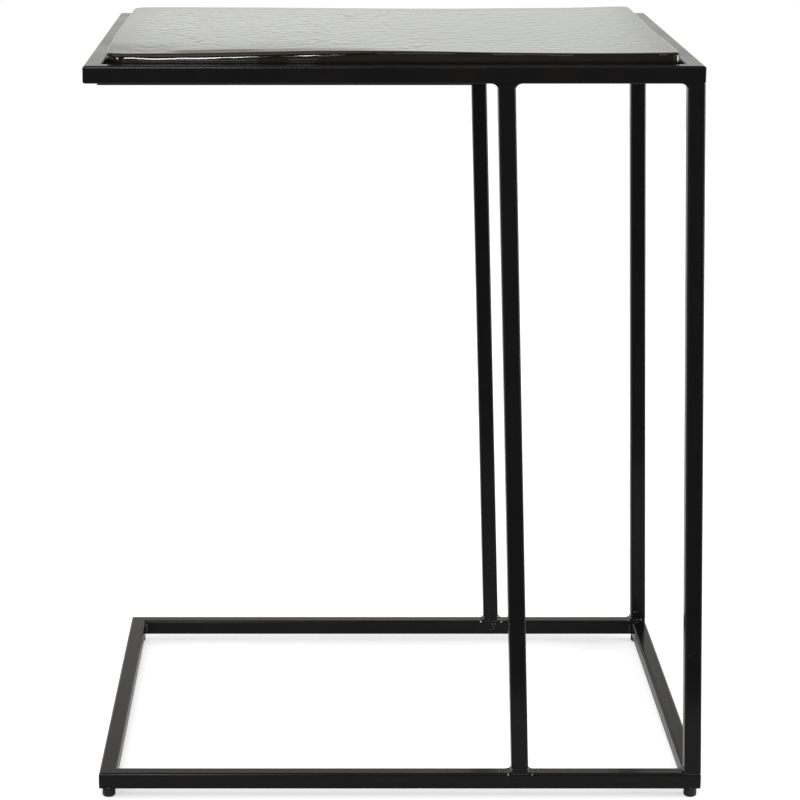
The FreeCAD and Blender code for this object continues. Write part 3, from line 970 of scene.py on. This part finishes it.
def spatter_and_glint_drops(name, seed):
    """Drops of spatter round the bead at an upright's foot: small balls, half sunk, on the rail beside
    the bead, on the upright above it and on the front, and for a middle upright larger balls where its
    beads end, which are painted glints. The radius at an angle s from the lower pole is the drop's size
    times sin s."""
    lower, upper = upright_ends(name)
    climb = (upper - lower) / np.linalg.norm(upper - lower)
    random = np.random.default_rng(seed)
    swing = np.linspace(DROP_POLE, math.pi - DROP_POLE, DROP_RINGS)
    waist, level = np.sin(swing), -np.cos(swing)
    centres = []
    for side in bead_sides(name):
        outwards = np.array([*side, 0.0])
        across = np.array([side[1], side[0], 0.0])
        for _ in range(DROPS_PER_SIDE):
            reach = SPATTER_START + SPATTER_REACH * random.uniform() ** 2
            beside = lower + across * TUBE * random.uniform(*SPATTER_SPREAD) + outwards * TUBE / 2
            centres.append(beside + (outwards if random.uniform() < RAIL_SHARE else climb) * reach)
    for _ in range(FRONT_DROPS[name]):
        aside, above = random.uniform(*SPATTER_SPREAD), random.uniform(*SPATTER_CLIMB)
        centres.append(lower + np.array([aside, -0.5, above]) * TUBE)
    sizes = random.uniform(*DROP_SIZES, size=len(centres))
    # The larger balls at the ends of a middle upright's beads are painted glints.
    if "middle" in name:
        centres.extend(lower + BEAD_END_GLINTS)
        sizes = np.concatenate([sizes, BEAD_END_GLINT_SIZES])
    return [turned_shell(centre, size * waist, size * level, around=DROP_POINTS)
            for centre, size in zip(centres, sizes)]


# Pale grey metal, duller in clouds: partly bare grains of steel that shed their paint, and partly a painted
# highlight for the glints of the weld beads.
SPATTER_AND_GLINTS = plain_finish("spatter_and_painted_glints", grains=(2500.0, 400.0), gloss=(0.3, 0.5),
                              colours=((0.1, 0.1, 0.1, 1.0), (0.8, 0.79, 0.77, 1.0)),
                              bump=(0.4, 0.00002), Metallic=0.3)
drops_and_glints = [drop for seed, name in enumerate(UPRIGHTS, SPATTER_SEED) for drop in spatter_and_glint_drops(name, seed)]
print("drops of spatter:", len(drops_and_glints))

# %% [markdown]
# Beads in the corners of the rings, and tacks on the panel
#
# These are short fillets in a plain corner: a section with two straight legs and a hollow face between
# them, carried along a straight run. The section swells and shrinks a little with each drop of the weld
# pool, and draws in at both ends.

# %% Corner beads and tacks
SECTION_POINTS = 12
DROP_PITCH = 1.6 * MM
STEPS_PER_DROP = 6
LEAST_STEPS = 12
HUMP_SHARE = 0.14
END_POWER = 6
LEAST_END = 0.02
ROOT_SHARE = 0.12
CORNER_HOLLOW_SHARE = 0.36
TACK_HOLLOW_SHARE = 0.55


def fillet_bead(corner, first, second, run, hollow_share, seed):
    """Closed bead in a corner: each ring goes out along one leg, back over a face that bends from leg
    to leg, and home along the other; its size follows |sin| of the way along the run, one hump for each
    drop."""
    length = np.linalg.norm(run)
    random = np.random.default_rng(seed)
    way = np.linspace(0, 1, max(int(length / DROP_PITCH * STEPS_PER_DROP), LEAST_STEPS))
    hump = np.abs(np.sin(way * math.pi * length / DROP_PITCH + random.uniform(0, math.pi)))
    ends = np.sqrt(np.clip(1 - np.abs(2 * way - 1) ** END_POWER, LEAST_END, 1))
    size = part_way(1 - HUMP_SHARE, 1, hump) * ends
    share = np.linspace(0, 1, SECTION_POINTS)[:, None]
    middle = (first + second) * hollow_share
    control = 2 * middle - (first + second) / 2
    face = (1 - share) ** 2 * first + 2 * share * (1 - share) * control + share**2 * second
    root = -(first + second) * ROOT_SHARE
    section = np.concatenate([root[None], face])
    rings = corner + section[None] * size[:, None, None] + way[:, None, None] * run
    return ringed_shell(rings)


CORNER_LEG = 2.6 * MM
FLAT_SIDE = TUBE - 2 * TUBE_RADIUS
UP = np.array([0.0, 0.0, 1.0])


def ring_corner_beads(ring, seed):
    """Beads that stand in the four inner corners of a ring."""
    left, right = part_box(ring + "_left_rail")[0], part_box(ring + "_right_rail")[1]
    front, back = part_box(ring + "_front_rail")[0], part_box(ring + "_back_rail")[1]
    beads = []
    for x, side_x in ((left.x + TUBE, 1.0), (right.x - TUBE, -1.0)):
        for y, side_y in ((front.y + TUBE, 1.0), (back.y - TUBE, -1.0)):
            corner = np.array([x, y, front.z + TUBE_RADIUS])
            legs = np.array([side_x, 0, 0]) * CORNER_LEG, np.array([0, side_y, 0]) * CORNER_LEG
            beads.append(fillet_bead(corner, *legs, UP * FLAT_SIDE, CORNER_HOLLOW_SHARE, seed + len(beads)))
    return beads


TACK_LEG = 1.0 * MM
TACK_LENGTH = 9 * MM
TACK_COUNT = 4
TACK_SEED = 80


def panel_tacks():
    """Tacks along both long edges of the panel, under the rails, evenly spread between the first and
    the last."""
    first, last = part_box("panel_tack_welds")
    low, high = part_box("support_panel")
    tacks = []
    for y, outward_side in ((low.y, -1.0), (high.y, 1.0)):
        for x in np.linspace(first.x, last.x - TACK_LENGTH, TACK_COUNT):
            legs = np.array([0, outward_side, 0]) * TACK_LEG, -UP * TACK_LEG
            place, run = np.array([x, y, high.z]), np.array([TACK_LENGTH, 0, 0])
            tacks.append(fillet_bead(place, *legs, run, TACK_HOLLOW_SHARE, TACK_SEED + len(tacks)))
    return tacks


top_beads = joined(top_upright_welds + ring_corner_beads("top", seed=60))
base_beads = joined(base_upright_welds + ring_corner_beads("base", seed=70))
new_piece("top_ring_weld_beads", top_beads, POWDER_COAT, "frame", "frame_black", "top_ring_welds")
new_piece("base_ring_weld_beads", base_beads, BEAD_COAT, "frame", "frame_black", "base_ring_welds")
# Spatter drops and the painted glints of the base beads, as one piece in pale metal.
new_piece("base_ring_weld_spatter_and_glints", joined(drops_and_glints), SPATTER_AND_GLINTS, "frame", "zinc_steel", "base_ring_welds")
new_piece("panel_tack_beads", joined(panel_tacks()), POWDER_COAT, "frame", "frame_black", "panel_tack_welds")

# %% [markdown]
# Feet and bumpers
#
# A foot is a short nylon stub on a threaded stud, so that a table on an uneven floor can be levelled.
# The stub, the thread and the soft bumpers under the glass are turned forms: a radius that depends on
# the height, and for the thread also on the angle, taken round a full circle.


# %% Round parts
def round_part(node):
    """Middle of the lower face of an upright round node, its radius and its height."""
    low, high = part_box(node)
    place = np.array([(low.x + high.x) / 2, (low.y + high.y) / 2, low.z])
    return place, (high.x - low.x) / 2, high.z - low.z


def rounded_edge(radius, height, roundness, upwards, steps=9):
    """Radii and heights of a quarter circle that rounds the lower or upper edge of a cylinder."""
    swing = np.linspace(0, math.pi / 2, steps)
    radii = radius - roundness + roundness * np.sin(swing)
    heights = height + roundness * (1 - np.cos(swing)) * (1 if upwards else -1)
    return (radii, heights) if upwards else (radii[::-1], heights[::-1])


# %% Nylon feet
GLIDE_ROUNDING = 1.7 * MM
GLIDE_TOP_ROUNDING = 0.5 * MM


def glide_shell(node):
    """Stub with a soft lower edge and a lightly broken upper one."""
    place, radius, reach = round_part(node)
    lower = rounded_edge(radius, 0.0, GLIDE_ROUNDING, upwards=True)
    upper = rounded_edge(radius, reach, GLIDE_TOP_ROUNDING, upwards=False)
    return turned_shell(place, np.concatenate([lower[0], upper[0]]), np.concatenate([lower[1], upper[1]]))


# Black moulded nylon with a fine eroded grain.
FOOT_NYLON = plain_finish("foot_nylon", grains=(1500.0, 60.0), gloss=(0.38, 0.52),
                          colours=((0.006, 0.006, 0.0065, 1.0), (0.012, 0.012, 0.0125, 1.0)),
                          bump=(0.5, 0.00004), IOR=1.4)
print("lower edges of the feet rounded by", round(GLIDE_ROUNDING / MM, 2), "mm")

# %% [markdown]
# Threaded studs
#
# A stud could be a plain cylinder with a bump for its thread, but it shows when a foot is screwed out,
# and a real groove keeps its shape from the side. So the thread is part of the radius, which depends on
# the height and the angle together. The inserts above keep their CAD shape and take the same zinc.

# %% Threaded studs
THREAD_PITCH = 0.8 * MM
THREAD_DEPTH = 0.4 * MM
STUD_CHAMFER = 0.6 * MM
ROWS_PER_TURN = 10
THREAD_FLANK = (0.12, 0.88)


def stud_shell(node):
    """Screw thread: the radius falls from crest to root with the distance from the nearest crest, and
    the crest climbs by one pitch for each turn. A chamfer takes the crest away at the tip."""
    place, radius, reach = round_part(node)
    heights = np.linspace(0, reach, int(reach / THREAD_PITCH * ROWS_PER_TURN))
    turn = np.linspace(0, 1, ROUND_POINTS, endpoint=False)
    climb = heights[:, None] / THREAD_PITCH - turn[None, :]
    from_crest = np.abs(climb - np.round(climb)) * 2
    radii = radius - THREAD_DEPTH * eased(from_crest, *THREAD_FLANK)
    tip = radius - STUD_CHAMFER + np.clip(reach - heights, 0, STUD_CHAMFER)
    return turned_shell(place, np.minimum(radii, tip[:, None]), heights)


# Zinc-plated steel: bluish grey metal with dull clouds.
ZINC_STEEL = plain_finish("zinc_steel", grains=(1800.0, 190.0), gloss=(0.24, 0.42),
                          colours=((0.52, 0.54, 0.56, 1.0), (0.66, 0.66, 0.63, 1.0)),
                          bump=(0.4, 0.00002), Metallic=1.0)
finish_nodes(["foot_inserts"], ZINC_STEEL)
for corner in ("front_left", "front_right", "back_right", "back_left"):
    foot = corner + "_foot"
    new_piece(foot + "_stub", glide_shell(foot + "_glide"), FOOT_NYLON, foot, "foot_nylon", foot + "_glide")
    new_piece(foot + "_thread", stud_shell(foot + "_stud"), ZINC_STEEL, foot, "zinc_steel", foot + "_stud")

# %% [markdown]
# Bumpers
#
# Six soft clear discs keep the glass off the steel. They only show when the glass is lifted out. Each
# is a low dome, and its soft plastic lets a little light through.

# %% Bumpers
BUMPER_RADIUS = 5 * MM
BUMPER_RINGS = 12
BUMPER_COLUMNS = 3
BUMPER_ROWS = 2
DOME_SHARE = 0.97


def bumper_shells():
    """Domes on the panel, at the ends and the middle of two rows: the radius at a share s of the height
    is the full radius times the fifth root of 1 - s^5, cut off flat just under the glass."""
    low, high = (np.array(corner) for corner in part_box("glass_bumpers"))
    tall = high[2] - low[2]
    radius = BUMPER_RADIUS
    share = np.linspace(0, DOME_SHARE, BUMPER_RINGS)
    radii = radius * (1 - share**5) ** 0.2
    heights = share / DOME_SHARE * tall
    columns = np.linspace(low[0] + radius, high[0] - radius, BUMPER_COLUMNS)
    rows = np.linspace(low[1] + radius, high[1] - radius, BUMPER_ROWS)
    return [turned_shell(np.array([x, y, low[2]]), radii, heights) for x in columns for y in rows]


# Soft clear plastic with a slight haze.
CLEAR_BUMPER = plain_finish("clear_bumper", grains=(900.0, 160.0), gloss=(0.16, 0.34),
                            colours=((0.78, 0.80, 0.78, 1.0), (0.88, 0.89, 0.87, 1.0)),
                            bump=(0.3, 0.00003), IOR=1.48, Transmission_Weight=0.75)
new_piece("clear_glass_bumpers", joined(bumper_shells()), CLEAR_BUMPER, "frame", "clear_bumper",
          "glass_bumpers")
